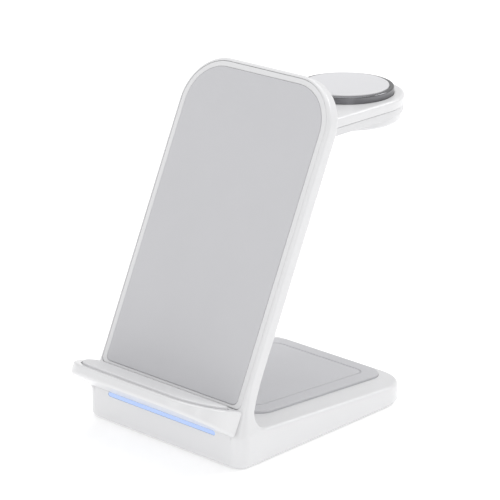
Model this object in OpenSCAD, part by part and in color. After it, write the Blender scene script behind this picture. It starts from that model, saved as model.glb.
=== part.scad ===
// Three-in-one wireless charging stand: a base with an earbuds pad, a panel that leans
// back and carries a phone on a ledge, and a level arm behind it for a watch.
// Millimetres. X runs across the stand, -Y is its front, Z = 0 is the table.

/* [Base] */
// Width of the base
base_w = 71; // [69:0.5:84]
// Depth of the base, front to back
base_d = 86.5; // [84:0.5:110]
// Height of the base at the panel's foot, without its feet
base_h = 11.6; // [11:0.1:15]
// Height of the base at its back edge, where the deck has sloped down
base_back_h = 6.3; // [6.2:0.1:7.5]
// Plan radius of the two front corners
front_corner_r = 5; // [3:0.5:7]
// Plan radius of the two back corners
back_corner_r = 13; // [8:0.5:16]
// Radius that softens the housing's outer edges
edge_r = 1.3; // [0.6:0.1:1.5]
// Thickness of the base's side walls
wall = 2; // [1.5:0.1:2.5]
// Thickness of the base's top deck
deck_t = 1.6; // [1.5:0.1:1.8]
// Radius of the hollow fillet where the panel rises from the base
notch_r = 5; // [3:0.5:7]

/* [Panel] */
// How far each side draws in from the base to the leaning panel
side_draw = 2.5; // [1.5:0.25:6]
// Height of the panel's top edge above the underside of the base
panel_top_h = 117.3; // [112:0.5:140]
// Thickness of the panel
panel_t = 5.4; // [5.2:0.1:8]
// How far the panel leans back from upright, in degrees
lean = 25.25; // [18:0.25:28]
// Radius of the panel's top corners
panel_corner_r = 17; // [12:0.5:24]
// Height of the line where the leaning panel meets the base's upright front
kink_h = 11; // [10.8:0.1:11]
// Height over which the sides draw in from the base to the panel
flare_h = 18; // [12:1:30]
// Width of the panel's rim outside the front frame
rim_w = 1.1; // [1:0.1:1.6]
// Width of the white frame that shows round the phone pad
frame_w = 2; // [1.4:0.1:3]
// Depth of the recess that holds the frame and the pad
frame_t = 2; // [1.8:0.1:2.2]
// Thickness of the panel's back wall
back_wall = 1.2; // [1:0.1:1.6]

/* [Phone ledge] */
// How far the ledge stands out from the panel
ledge_reach = 20; // [16:0.5:23]
// Height of the ledge's front edge above the line where the panel starts
ledge_top = 6.6; // [6:0.1:8]
// Height of the ledge's front face
ledge_face_h = 3.3; // [3:0.1:4]
// How steeply the ledge's top rises towards the panel, in degrees
ledge_rise = 5.5; // [3:0.5:7]
// Plan radius of the ledge's two outer corners
ledge_corner_r = 14.4; // [8:0.2:15]
// Thickness of the silicone strip the phone stands on
grip_t = 1.6; // [1.2:0.1:2]
// Depth that the silicone strip is let into the ledge
grip_inset = 0.7; // [0.5:0.1:0.8]

/* [Front light] */
// Length of the light bar
light_l = 49; // [30:1:56]
// Height of the light bar
light_h = 1.3; // [1:0.1:1.3]
// Height of the light bar's lower edge above the underside of the base
light_z = 9.5; // [9:0.1:9.5]

/* [Earbuds pad] */
// Width of the earbuds pad
bud_pad_w = 52; // [44:0.5:56]
// Length of the earbuds pad
bud_pad_l = 65; // [58:0.5:66]
// Corner radius of the earbuds pad
bud_pad_r = 7; // [4:0.5:10]
// Thickness of the earbuds pad
bud_pad_t = 1.6; // [1.2:0.1:2]
// Depth that the pads are let into the deck
bud_pad_inset = 0.7; // [0.5:0.1:0.8]
// Distance from the pad's back edge to the back of the base
bud_pad_back = 3; // [2.5:0.5:4]

/* [Watch arm] */
// Width of the watch arm
arm_w = 40; // [38:0.5:46]
// Distance of the watch's centre behind the base's front face
watch_y = 90; // [84:0.5:100]
// Depth of the arm's top face below the panel's top edge
arm_drop = 16.5; // [14:0.5:24]
// Height of the arm's upper shell
arm_upper_t = 3.3; // [3:0.1:4]
// Height of the arm's middle band
arm_band_t = 2.6; // [2.2:0.1:4]
// Depth of the round cover under the arm's end
arm_lower_t = 2.9; // [2.7:0.1:4]
// Thickness of the arm's walls
arm_wall = 1.6; // [1.2:0.1:2]
// Thickness of the mounting flange between arm and panel
flange_t = 0.8; // [0.6:0.1:1.5]
// Outer radius of the metal ring round the watch puck
puck_r = 16.5; // [15.5:0.5:18]
// Height of the puck above the arm's top face
puck_h = 2.8; // [2.4:0.1:4]

/* [Feet and fasteners] */
// Radius of the rubber feet
foot_r = 5; // [4:0.5:5]
// Thickness of the rubber feet
foot_t = 1; // [0.8:0.1:1.2]
// Height that the feet stand proud of the base's underside
foot_proud = 0.5; // [0.4:0.1:0.7]
// Shank radius of the screws
screw_r = 1; // [0.8:0.1:1.1]
// Head radius of the screws
head_r = 1.9; // [1.6:0.1:2]
// Thickness of the circuit boards
board_t = 1.2; // [0.8:0.1:1.4]

/* [Fits] */
// Gap round a piece let into a recess
fit = 0.15; // [0.1:0.05:0.2]

/* [Hidden] */
$fn = 64;
big = 300;
// Steps round the softened edges and corners that are lofted
soft_fn = 32;

// Heights, with the feet under the base
base_z = foot_proud;
base_top = base_z + base_h;
kink_z = base_z + kink_h;

// The stand is centred front to back over its whole reach, ledge to arm end
arm_end = watch_y + arm_w / 2;
ledge_low = ledge_top - ledge_face_h;
ledge_root = ledge_top + ledge_reach * tan(ledge_rise);
ledge_run = ledge_reach / cos(ledge_rise);
lip_r = 0.7;
chin_r = 1.2;
ledge_nose = (ledge_reach - chin_r) * cos(lean) - (ledge_low + chin_r) * sin(lean) + chin_r;
front_y = -(arm_end - ledge_nose) / 2;
puck_y = front_y + watch_y;

// The panel's own frame has its length up the slope from the kink line
panel_w = base_w - 2 * side_draw;
panel_len = (base_z + panel_top_h - kink_z) / cos(lean);
inner_t = panel_t - frame_t - back_wall;
frame_start = ledge_root + 0.3;
frame_end = panel_len - rim_w;
pad_start = frame_start + frame_w / 2;
pad_end = frame_end - frame_w;
pad_edge_t = 1.2;
frame_lip = 2.4;
pocket_start = pad_start + frame_lip;
pocket_end = pad_end - frame_lip;
pocket_w = panel_w - 2 * (rim_w + frame_w + frame_lip);

// The sides draw in on an arc that ends upright at the panel's width
flare_r = (pow(flare_h, 2) + pow(side_draw, 2)) / (2 * side_draw);
flare_top = kink_z + flare_h;
flare_len = flare_h / cos(lean) + panel_t * tan(lean);
flare_steps = 4;

// Where the panel's back meets the deck, and the fillet there
back_shift = panel_t / cos(lean) + (base_top - kink_z) * tan(lean);
deck_slope = atan((base_h - base_back_h) / (base_d - back_shift));
notch_half = (90 - lean + deck_slope) / 2;
notch_run = notch_r / tan(notch_half);

// Base interior
corner_post_h = 4;
cavity_start = 7.5;
cover_t = 1.4;
post_r = 3;
cover_post_t = 2.6;
head_h = 1.2;
screw_x = base_w / 2 - wall - post_r - 3;
screw_front = cavity_start + 7.5;
screw_back = base_d - wall - 9.5;
screw_len = 3.5;
screw_hole_l = screw_len + 2.1;
board_z = base_z + 2;
board_w = 2 * (screw_x - post_r - 0.5);
board_start = 41;
board_post_x = board_w / 2 - 3;
board_hole_floor = 0.6;
weight_w = board_w;
weight_start = 20;
weight_l = 16;
weight_t = 4;

// Coils under the pads
coil_t = 1.2;
ferrite_t = 0.8;
bud_coil_t = 0.9;
bud_ferrite_t = 0.5;
bud_coil_r = 18;
bud_coil_hole_r = 8;
bud_coil_y = base_d - bud_pad_back - bud_pad_l / 2;

// Charging socket at the back of the base, at the end of the board
port_w = 8.94;
port_h = 3.26;
port_l = 7.3;
port_in = 0.2;
port_z = base_z + cover_t + 0.05 + port_h / 2;
board_end = base_d - port_in - port_l;

// Front light
light_wall = 2;
light_floor = 4.4;
led_t = 1;
led_gap = 0.2;
led_board_w = light_l - 2;

// Levels of the watch arm, top down
arm_top = base_z + panel_top_h - arm_drop;
arm_seam = arm_top - arm_upper_t;
arm_low_seam = arm_seam - arm_band_t;
arm_bottom = arm_low_seam - arm_lower_t;
puck_seat = arm_top - 0.8;
puck_top = arm_top + puck_h;
puck_cap_r = puck_r - 1.6;
arm_root_v = (arm_low_seam - kink_z + panel_t * sin(lean)) / cos(lean);
arm_root_top_v = (arm_top - kink_z + panel_t * sin(lean)) / cos(lean);
arm_screw_x = 13.5;
arm_screw_v = arm_root_v + 3.8;
bracket_l = 9;

// Phone coils in the panel, between the pocket's lower end and the arm's screws
screw_head_t = 0.9;
ferrite_edge = 1;
coil_gap = 0.6;
coils_start = pocket_start + 1;
coils_end = arm_screw_v - head_r - 0.4;
phone_coil_r = (coils_end - coils_start - 2 * ferrite_edge - coil_gap) / 4;
phone_coil_hole_r = 0.45 * phone_coil_r;
lower_coil_v = coils_start + ferrite_edge + phone_coil_r;
upper_coil_v = lower_coil_v + 2 * phone_coil_r + coil_gap;
driver_v = arm_screw_v + head_r + 0.2;
driver_l = pocket_end - driver_v - 3;
driver_w = 24;

// The silicone strip on the ledge and the groove round it
grip_in = 2;
grip_side = 2.5;
grip_back = 2.4;
grip_gap = 0.5;

// Tongues that locate the ledge in the panel
tongue_x = 0.31 * base_w;
tongue_w = 10;
tongue_t = 1.8;
tongue_v = 2.35;
tongue_l = 2.4;

// Colours
white_gloss = "#f1f1f2";
white_satin = "#e6e6e8";
soft_grey = "#c4c4c9";
silicone = "#e9e9ec";
rubber_grey = "#9a9aa0";
metal_grey = "#8f9498";
steel = "#b4b6ba";
copper = "#b8713c";
ferrite_black = "#3a3a3e";
board_green = "#2f6b4c";
light_blue = "#cfdcff";

// Puts its children in the panel's frame: X across, Y up the slope, Z out of its front
module on_panel() {
    translate([0, front_y, kink_z]) rotate([90 - lean, 0, 0]) children();
}

// Moves its children so that Y = 0 is the base's front face
module on_base() {
    translate([0, front_y, 0]) children();
}

// Puts its children on the sloping deck, with Y = 0 still over the base's front face
module on_deck() {
    translate([0, front_y + back_shift, base_top]) rotate([-deck_slope, 0, 0])
        translate([0, -back_shift, 0]) children();
}

// Puts its children, in the panel's frame, on the ledge's top: Y runs back from its edge
module on_ledge() {
    translate([0, ledge_top, ledge_reach]) rotate([ledge_rise - 90, 0, 0]) children();
}

// Keeps the part of its children that lies deeper under the deck than a distance
module below_deck(depth) {
    intersection() {
        children();
        on_deck() translate([-big / 2, -big, -depth - big]) cube([big, 2 * big, big]);
    }
}

// A rectangle from y0 to y1 with one radius at its near corners and one at its far corners
module rounded_plan(w, y0, y1, near_r, far_r) {
    for (side = [-1, 1]) {
        translate([side * (w / 2 - near_r), y0 + near_r]) circle(near_r);
        translate([side * (w / 2 - far_r), y1 - far_r]) circle(far_r);
    }
    translate([-(w / 2 - near_r), y0]) square([w - 2 * near_r, near_r]);
    translate([-(w / 2 - far_r), y1 - far_r]) square([w - 2 * far_r, far_r]);
    translate([-w / 2, y0 + near_r]) square([w, y1 - y0 - near_r - far_r]);
}

// A slot with round ends, centred, running along X
module slot_plan(l, h) {
    square([l - h, h], center = true);
    for (side = [-1, 1]) translate([side * (l - h) / 2, 0]) circle(h / 2);
}

// A round post whose two rims are softened
module soft_post(r, h, soft) {
    rotate_extrude($fn = soft_fn) {
        square([r - soft, h]);
        translate([0, soft]) square([r, h - 2 * soft]);
        for (z = [soft, h - soft]) {
            intersection() {
                translate([r - soft, z]) circle(soft, $fn = 16);
                square([r + 1, h]);
            }
        }
    }
}

// A cross-section of the panel at a distance up its slope, as a thin slice
module panel_slice(v, half_w, front_r) {
    slice = 0.01;
    translate([0, v, 0]) rotate([90, 0, 0]) linear_extrude(slice) intersection() {
        rounded_plan(2 * half_w, -panel_t, big, edge_r, edge_r, $fn = 24);
        rounded_plan(2 * half_w, -big, 0, front_r, front_r, $fn = 24);
    }
}

// Half the housing's width at a height in the flare
function flare_half_w(z) =
    panel_w / 2 + flare_r - sqrt(pow(flare_r, 2) - pow(max(flare_top - z, 0), 2));

// The same, at a distance up the panel's slope
function panel_half_w(v) =
    min(flare_half_w(kink_z + v * cos(lean) - panel_t / 2 * sin(lean)), base_w / 2);

// Radius of the panel's front edges, which starts as the base's corner and shrinks
function panel_front_r(v) =
    edge_r + (min(front_corner_r, panel_t - edge_r) - edge_r) * pow(1 - v / flare_len, 2);

// The four rounded corners of the base, as short posts
module base_corners() {
    for (side = [-1, 1]) {
        translate([side * (base_w / 2 - front_corner_r), front_corner_r])
            soft_post(front_corner_r, corner_post_h, edge_r);
        translate([side * (base_w / 2 - back_corner_r), base_d - back_corner_r])
            soft_post(back_corner_r, corner_post_h, edge_r);
    }
}

// Posts that stand on the underside and posts that hang from the deck, joined
module base_block() {
    difference() {
        hull() {
            on_base() translate([0, 0, base_z]) base_corners();
            on_deck() translate([0, 0, -corner_post_h]) base_corners();
        }
        on_panel() translate([-big / 2, 0, 0]) cube(big);
    }
}

module panel_block() {
    top_v = panel_len - panel_corner_r;
    on_panel() {
        hull() {
            panel_slice(flare_len, panel_w / 2, edge_r);
            for (side = [-1, 1]) {
                translate([side * (panel_w / 2 - panel_corner_r), top_v, -panel_t])
                    soft_post(panel_corner_r, panel_t, edge_r);
            }
        }
        for (i = [0:flare_steps - 1]) {
            low = flare_len * i / flare_steps;
            high = flare_len * (i + 1) / flare_steps;
            hull() {
                panel_slice(low + 0.01, panel_half_w(low), panel_front_r(low));
                panel_slice(high, panel_half_w(high), panel_front_r(high));
            }
        }
    }
}

// The hollow fillet between the panel's back and the deck, with the flare's sides
module notch_fillet() {
    root = 2;
    apex = [back_shift, base_top];
    along_deck = [cos(deck_slope), -sin(deck_slope)];
    off_deck = [sin(deck_slope), cos(deck_slope)];
    foot = apex + notch_run * along_deck;
    centre = foot + notch_r * off_deck;
    into_panel = [-cos(lean), sin(lean)];
    intersection() {
        on_base() translate([-base_w / 2, 0, 0]) rotate([90, 0, 90]) linear_extrude(base_w)
            difference() {
                polygon([
                    foot - root * off_deck,
                    centre,
                    centre + (notch_r + root) * into_panel,
                    apex + root * into_panel - root * off_deck
                ]);
                translate(centre) circle(notch_r);
            }
        flare_outline();
    }
}

// The stand seen from the front, where its sides draw in from base to panel
module flare_outline() {
    translate([0, big / 2, 0]) rotate([90, 0, 0]) linear_extrude(big) difference() {
        translate([-base_w / 2, base_top - 3]) square([base_w, flare_top - base_top + 3]);
        for (side = [-1, 1]) {
            translate([side * (panel_w / 2 + flare_r), flare_top]) circle(flare_r, $fn = 256);
        }
    }
}

// Where the four screws that hold the bottom cover stand
module at_screws() {
    for (x = [-screw_x, screw_x], y = [screw_front, screw_back]) {
        translate([x, front_y + y, 0]) children();
    }
}

// The plan of the base's hollow, open below, drawn in by a gap
module cavity_plan(gap) {
    w = base_w - 2 * wall - 2 * gap;
    rounded_plan(w, cavity_start + gap, base_d - wall - gap, 2, back_corner_r - wall - gap);
}

module base_hollow() {
    below_deck(deck_t) on_base() translate([0, 0, base_z - 1]) linear_extrude(base_h + 1)
        cavity_plan(0);
    on_deck() translate([0, 0, -bud_pad_inset]) linear_extrude(bud_pad_inset + 1)
        earbuds_plan(fit);
    on_base() {
        translate([-light_l / 2 - 1, light_wall, base_z + light_floor])
            cube([light_l + 2, cavity_start - light_wall + 1,
                light_z + light_h + fit - light_floor]);
        translate([0, -1, base_z + light_z + light_h / 2]) rotate([-90, 0, 0])
            linear_extrude(light_wall + 2) slot_plan(light_l + 2 * fit, light_h + 2 * fit);
        translate([0, base_d + 1, port_z]) rotate([90, 0, 0])
            linear_extrude(wall + 2) slot_plan(port_w + 2 * fit, port_h + 2 * fit);
    }
}

module panel_hollow() {
    channel_x = 18;
    channel_w = 10;
    channel_sink = 2;
    on_panel() {
        translate([0, 0, -frame_t]) linear_extrude(frame_t + 1)
            rounded_plan(panel_w - 2 * rim_w, frame_start - fit, frame_end, 2,
                panel_corner_r - rim_w);
        translate([0, 0, -panel_t + back_wall]) linear_extrude(panel_t - back_wall)
            rounded_plan(pocket_w, pocket_start, pocket_end, 2,
                panel_corner_r - rim_w - frame_w - frame_lip);
        translate([channel_x - channel_w / 2, -channel_sink, -panel_t + back_wall])
            cube([channel_w, pocket_start + channel_sink + 1, inner_t]);
        for (side = [-1, 1]) {
            translate([side * arm_screw_x, arm_screw_v, -panel_t - 1])
                cylinder(r = screw_r + fit, h = back_wall + 2);
            translate([side * tongue_x - tongue_w / 2 - fit, tongue_v - fit, -tongue_l - 0.2])
                cube([tongue_w + 2 * fit, tongue_t + 2 * fit, tongue_l + 1.2]);
        }
        translate([0, arm_screw_v, -panel_t - 1]) cylinder(r = 2, h = back_wall + 2);
    }
}

module main_housing() {
    color(white_gloss) difference() {
        union() {
            difference() {
                union() {
                    base_block();
                    panel_block();
                    notch_fillet();
                }
                base_hollow();
                panel_hollow();
            }
            below_deck(deck_t / 2) at_screws() translate([0, 0, base_z + cover_post_t])
                cylinder(r = post_r, h = base_h);
        }
        at_screws() translate([0, 0, base_z]) cylinder(r = screw_r + 0.05, h = screw_hole_l);
    }
}

module base_bottom_cover() {
    color(white_satin) difference() {
        union() {
            on_base() translate([0, 0, base_z]) linear_extrude(cover_t) cavity_plan(fit);
            at_screws() translate([0, 0, base_z]) cylinder(r = post_r + 0.2, h = cover_post_t);
            board_posts() cylinder(r = 2, h = board_z - base_z);
            on_base() for (side = [-1, 1]) {
                translate([side * (weight_w / 2 + 1) - 0.8, weight_start, base_z])
                    cube([1.6, weight_l, cover_t + 2]);
            }
        }
        at_screws() {
            translate([0, 0, base_z - 1]) cylinder(r = foot_r + fit, h = 1 + foot_t - foot_proud);
            translate([0, 0, base_z]) cylinder(r = head_r + fit, h = foot_t - foot_proud + head_h);
            translate([0, 0, base_z]) cylinder(r = screw_r + fit, h = cover_post_t + 1);
        }
        board_posts() translate([0, 0, board_hole_floor]) cylinder(r = screw_r - 0.15, h = 4);
    }
}

// The posts under the main circuit board
module board_posts() {
    for (x = [-board_post_x, board_post_x], y = [board_start + 3, board_end - 4]) {
        translate([x, front_y + y, base_z]) children();
    }
}

module rubber_feet() {
    color(rubber_grey) at_screws() cylinder(r = foot_r, h = foot_t);
}

module base_screws() {
    head_z = foot_t + 0.05;
    color(steel) at_screws() translate([0, 0, head_z]) {
        cylinder(r = head_r, h = head_h - 0.05);
        cylinder(r = screw_r, h = head_h + screw_len);
    }
}

module counterweight() {
    color(steel) on_base() translate([0, 0, base_z + cover_t]) linear_extrude(weight_t)
        rounded_plan(weight_w, weight_start, weight_start + weight_l, 2, 2);
}

module main_circuit_board() {
    chip_h = 1.1;
    color(board_green) difference() {
        on_base() union() {
            translate([0, 0, board_z]) linear_extrude(board_t)
                rounded_plan(board_w, board_start, board_end, 1, 1);
            translate([-14, board_start + 6, board_z + board_t - 0.1]) cube([9, 9, chip_h]);
            translate([2, board_start + 6, board_z + board_t - 0.1]) cube([6, 6, chip_h]);
            for (i = [0:4]) {
                translate([-12 + 5 * i, board_start + 22, board_z + board_t - 0.1])
                    cube([3, 5, chip_h]);
            }
        }
        board_posts() translate([0, 0, 1]) cylinder(r = screw_r + fit, h = 5);
    }
}

module board_screws() {
    shank_l = board_z - base_z - board_hole_floor - 0.1;
    color(steel) board_posts() translate([0, 0, board_z - base_z]) {
        translate([0, 0, board_t]) cylinder(r = head_r - 0.2, h = screw_head_t);
        translate([0, 0, -shank_l]) cylinder(r = screw_r - 0.2, h = shank_l + board_t + 0.1);
    }
}

module usb_c_socket() {
    shell = 0.35;
    tongue = [6.8, 0.7, port_l - 1];
    leg = [1.2, 1.6, 0.4];
    color(steel) on_base() {
        translate([0, base_d - port_in, port_z]) rotate([90, 0, 0]) {
            difference() {
                linear_extrude(port_l) slot_plan(port_w, port_h - 0.02);
                translate([0, 0, -1]) linear_extrude(port_l - 0.5)
                    slot_plan(port_w - 2 * shell, port_h - 2 * shell);
            }
            translate([-tongue[0] / 2, -tongue[1] / 2, 0.8]) cube(tongue);
        }
        for (side = [-1, 1]) {
            translate([side * 3 - leg[0] / 2, board_end + 0.3 - leg[1], board_z + board_t])
                cube(leg);
        }
    }
}

module earbuds_plan(gap) {
    y1 = base_d - bud_pad_back;
    rounded_plan(bud_pad_w + 2 * gap, y1 - bud_pad_l - gap, y1 + gap,
        bud_pad_r + gap, bud_pad_r + gap);
}

module earbuds_pad() {
    y1 = base_d - bud_pad_back;
    groove_in = 5;
    groove_w = 0.8;
    groove_t = 0.4;
    color(soft_grey) on_deck() difference() {
        translate([0, 0, -bud_pad_inset]) linear_extrude(bud_pad_t) earbuds_plan(0);
        translate([0, 0, bud_pad_t - bud_pad_inset - groove_t])
            linear_extrude(1) difference() {
                rounded_plan(bud_pad_w - 2 * groove_in, y1 - bud_pad_l + groove_in,
                    y1 - groove_in, 4, 4);
                rounded_plan(bud_pad_w - 2 * groove_in - 2 * groove_w,
                    y1 - bud_pad_l + groove_in + groove_w, y1 - groove_in - groove_w, 3.2, 3.2);
            }
    }
}

// A flat wound coil with its lowest face at Z = 0
module flat_coil(outer, inner, t) {
    rotate_extrude() translate([inner, 0]) square([outer - inner, t]);
}

module earbuds_coil() {
    color(copper) on_deck() translate([0, bud_coil_y, -deck_t - bud_coil_t])
        flat_coil(bud_coil_r, bud_coil_hole_r, bud_coil_t);
}

module earbuds_coil_ferrite() {
    half = bud_coil_r + 1.5;
    color(ferrite_black) on_deck() translate([0, 0, -deck_t - bud_coil_t - bud_ferrite_t])
        linear_extrude(bud_ferrite_t)
            rounded_plan(2 * half, bud_coil_y - half, bud_coil_y + half, 2, 2);
}

module light_bar() {
    color(light_blue) on_base() translate([0, 0, base_z + light_z + light_h / 2])
        rotate([-90, 0, 0]) linear_extrude(light_wall + 1) slot_plan(light_l, light_h);
}

module led_board() {
    y0 = light_wall + 1 + led_gap;
    low = base_z + light_floor + 0.1;
    high = base_z + light_z + light_h;
    color(board_green) on_base() union() {
        translate([-led_board_w / 2, y0 + 0.6, low]) cube([led_board_w, led_t, high - low]);
        for (i = [0:7]) {
            translate([(i - 3.5) * led_board_w / 8 - 1, y0, high - 1.5]) cube([2, 0.7, 1.4]);
        }
    }
}

// The ledge's side profile: X out of the panel's front, Y up its slope
module ledge_profile() {
    lip_v = ledge_top + lip_r * tan(ledge_rise) - lip_r / cos(ledge_rise);
    hull() {
        translate([ledge_reach - lip_r, lip_v]) circle(lip_r, $fn = 24);
        translate([ledge_reach - chin_r, ledge_low + chin_r]) circle(chin_r, $fn = 24);
        polygon([[0, 0], [0.1, 0], [0, ledge_root]]);
    }
}

// The place of the silicone strip on the ledge's top, drawn in by a gap
module grip_plan(gap) {
    w = panel_w - 2 * grip_side - 2 * gap;
    far_r = 1.5;
    intersection() {
        rounded_plan(w, grip_in + gap, 3 * ledge_run, ledge_corner_r - grip_in - gap, far_r);
        rounded_plan(w, -ledge_run, ledge_run - grip_back - gap, far_r, far_r);
    }
}

module phone_ledge() {
    color(white_gloss) on_panel() union() {
        difference() {
            intersection() {
                translate([panel_w / 2, 0, 0]) rotate([0, -90, 0]) linear_extrude(panel_w)
                    ledge_profile();
                translate([0, ledge_root + 1, 0]) rotate([90, 0, 0])
                    linear_extrude(ledge_root + 2)
                        rounded_plan(panel_w, 0, ledge_reach, 0.5, ledge_corner_r);
            }
            on_ledge() translate([0, 0, -grip_inset]) linear_extrude(grip_inset + 1)
                grip_plan(0);
        }
        for (side = [-1, 1]) {
            translate([side * tongue_x - tongue_w / 2, tongue_v, -tongue_l])
                cube([tongue_w, tongue_t, tongue_l + 0.1]);
        }
    }
}

module ledge_grip_pad() {
    color(silicone) on_panel() on_ledge() translate([0, 0, -grip_inset])
        linear_extrude(grip_t) grip_plan(grip_gap);
}

// The outline of the phone pad in the panel's frame, let out by a gap
module pad_plan(gap) {
    w = panel_w - 2 * (rim_w + frame_w);
    rounded_plan(w + 2 * gap, pad_start - gap, pad_end + gap, 2 + gap,
        panel_corner_r - rim_w - frame_w + gap);
}

// The window of the front frame behind the pad's edge, drawn in by a gap
module window_plan(gap) {
    w = panel_w - 2 * (rim_w + frame_w + frame_lip);
    rounded_plan(w - 2 * gap, pad_start + frame_lip + gap, pad_end - frame_lip - gap, 2,
        panel_corner_r - rim_w - frame_w - frame_lip - gap);
}

module panel_front_frame() {
    color(white_gloss) on_panel() difference() {
        translate([0, 0, -frame_t]) linear_extrude(frame_t)
            rounded_plan(panel_w - 2 * rim_w - 2 * fit, frame_start, frame_end - fit, 2,
                panel_corner_r - rim_w - fit);
        translate([0, 0, -pad_edge_t]) linear_extrude(pad_edge_t + 1) pad_plan(fit);
        translate([0, 0, -frame_t - 1]) linear_extrude(frame_t + 2) window_plan(0);
    }
}

module phone_pad() {
    proud = 0.2;
    color(soft_grey) on_panel() {
        translate([0, 0, -pad_edge_t]) linear_extrude(pad_edge_t + proud) pad_plan(0);
        translate([0, 0, -frame_t]) linear_extrude(frame_t) window_plan(fit);
    }
}

module phone_coil_upper() {
    color(copper) on_panel() translate([0, upper_coil_v, -frame_t - coil_t])
        flat_coil(phone_coil_r, phone_coil_hole_r, coil_t - 0.05);
}

module phone_coil_lower() {
    color(copper) on_panel() translate([0, lower_coil_v, -frame_t - coil_t])
        flat_coil(phone_coil_r, phone_coil_hole_r, coil_t - 0.05);
}

module phone_coil_ferrite() {
    half_w = phone_coil_r + ferrite_edge;
    color(ferrite_black) on_panel() translate([0, 0, -frame_t - coil_t - ferrite_t])
        linear_extrude(ferrite_t) rounded_plan(2 * half_w, coils_start, coils_end, 2, 9);
}

module coil_driver_board() {
    chip_w = 5;
    chip_l = 4;
    chip_h = 0.7;
    color(board_green) on_panel() translate([0, driver_v, -panel_t + back_wall]) {
        translate([-driver_w / 2, 0, 0]) cube([driver_w, driver_l, board_t]);
        translate([-driver_w / 4, (driver_l - chip_l) / 2, board_t - 0.1])
            cube([chip_w, chip_l, chip_h + 0.1]);
    }
}

// The arm's plan, drawn in by a gap, from behind the panel to its round end
module arm_plan(gap) {
    translate([0, puck_y]) circle(arm_w / 2 - gap);
    translate([-arm_w / 2 + gap, front_y]) square([arm_w - 2 * gap, watch_y]);
}

// Takes off all that lies in front of a plane behind the panel's back
module behind_panel(gap) {
    difference() {
        children();
        on_panel() translate([-big / 2, -big / 2, -panel_t - gap]) cube([big, 2 * big, big]);
    }
}

module arm_flange() {
    below = 3.8;
    above = 0.3;
    color(white_satin) on_panel() difference() {
        translate([0, 0, -panel_t - flange_t]) linear_extrude(flange_t)
            rounded_plan(arm_w + 1, arm_root_v - below, arm_root_top_v + above, 3, 1);
        for (x = [-arm_screw_x, arm_screw_x]) {
            translate([x, arm_screw_v, -panel_t - flange_t - 1])
                cylinder(r = screw_r + fit, h = flange_t + 2);
        }
        translate([0, arm_screw_v, -panel_t - flange_t - 1]) cylinder(r = 2, h = flange_t + 2);
    }
}

module arm_upper_shell() {
    soft = 0.7;
    color(white_gloss) behind_panel(flange_t) difference() {
        union() {
            translate([0, 0, arm_seam]) linear_extrude(arm_upper_t - soft) arm_plan(0);
            translate([0, 0, arm_seam]) linear_extrude(arm_upper_t - soft / 3)
                arm_plan(soft / 3);
            translate([0, 0, arm_seam]) linear_extrude(arm_upper_t) arm_plan(soft);
        }
        translate([0, 0, arm_seam - 1]) linear_extrude(arm_upper_t + 1 - arm_wall)
            arm_plan(arm_wall);
        translate([0, puck_y, puck_seat]) cylinder(r = puck_r + fit, h = 2);
    }
}

module arm_band() {
    color(white_satin) behind_panel(flange_t) translate([0, 0, arm_low_seam])
        linear_extrude(arm_band_t) difference() {
            arm_plan(0.25);
            arm_plan(arm_wall + 0.25);
        }
}

// A plate that closes the arm below, with a round dish under the watch
module arm_lower_cover() {
    plate_t = 0.5;
    dish_edge_r = 1.3;
    dish_r = arm_w / 2 - 1.2;
    color(white_gloss) union() {
        behind_panel(flange_t) translate([0, 0, arm_low_seam - plate_t])
            linear_extrude(plate_t) arm_plan(0.9);
        translate([0, puck_y, arm_bottom]) rotate_extrude() {
            square([dish_r - dish_edge_r, arm_lower_t]);
            translate([0, dish_edge_r]) square([dish_r, arm_lower_t - dish_edge_r]);
            translate([dish_r - dish_edge_r, dish_edge_r]) circle(dish_edge_r);
        }
    }
}

module arm_bracket() {
    gap = 0.2;
    low = arm_low_seam + gap;
    high = arm_top - arm_wall - gap;
    half_w = arm_w / 2 - arm_wall - 0.25 - gap;
    root = panel_t / cos(lean) + (high - kink_z) * tan(lean);
    color(metal_grey) difference() {
        behind_panel(flange_t) on_base() difference() {
            translate([-half_w, 0, low]) cube([2 * half_w, root + bracket_l, high - low]);
            translate([-7, 0, low - 1]) cube([14, root + bracket_l + 1, high - low + 2]);
        }
        arm_screw_holes(screw_r + 0.05);
    }
    color(metal_grey) behind_panel(flange_t) on_base()
        translate([-7.1, 0, low]) cube([14.2, root + bracket_l - 5, 1]);
}

// The line of the two screws that hold the arm, along the panel's normal
module arm_screw_holes(r) {
    on_panel() for (x = [-arm_screw_x, arm_screw_x]) {
        translate([x, arm_screw_v, -panel_t - 6]) cylinder(r = r, h = 6 + back_wall);
    }
}

module arm_screws() {
    color(steel) {
        arm_screw_holes(screw_r);
        on_panel() for (x = [-arm_screw_x, arm_screw_x]) {
            translate([x, arm_screw_v, -panel_t + back_wall])
                cylinder(r = head_r, h = screw_head_t);
        }
    }
}

module puck_ring() {
    lip = 0.4;
    color(metal_grey) translate([0, puck_y, puck_seat]) rotate_extrude() {
        difference() {
            translate([puck_cap_r + 0.1, 0])
                square([puck_r - puck_cap_r - 0.1, puck_top - puck_seat - lip]);
            translate([puck_r, puck_top - puck_seat - lip])
                rotate(45) square(0.8, center = true);
        }
    }
}

module watch_puck() {
    skin = 1;
    dish_r = 150;
    dish_t = 0.6;
    height = puck_top - puck_seat;
    color(soft_grey) translate([0, puck_y, puck_seat]) difference() {
        cylinder(r = puck_cap_r, h = height);
        translate([0, 0, -1]) cylinder(r = puck_cap_r - skin, h = height - dish_t - skin + 1);
        translate([0, 0, height - dish_t + dish_r]) sphere(dish_r, $fn = 200);
    }
}

module watch_coil() {
    color(copper) translate([0, puck_y, puck_top - 1.7 - coil_t])
        flat_coil(puck_cap_r - 1.6, 4.6, coil_t);
}

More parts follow.
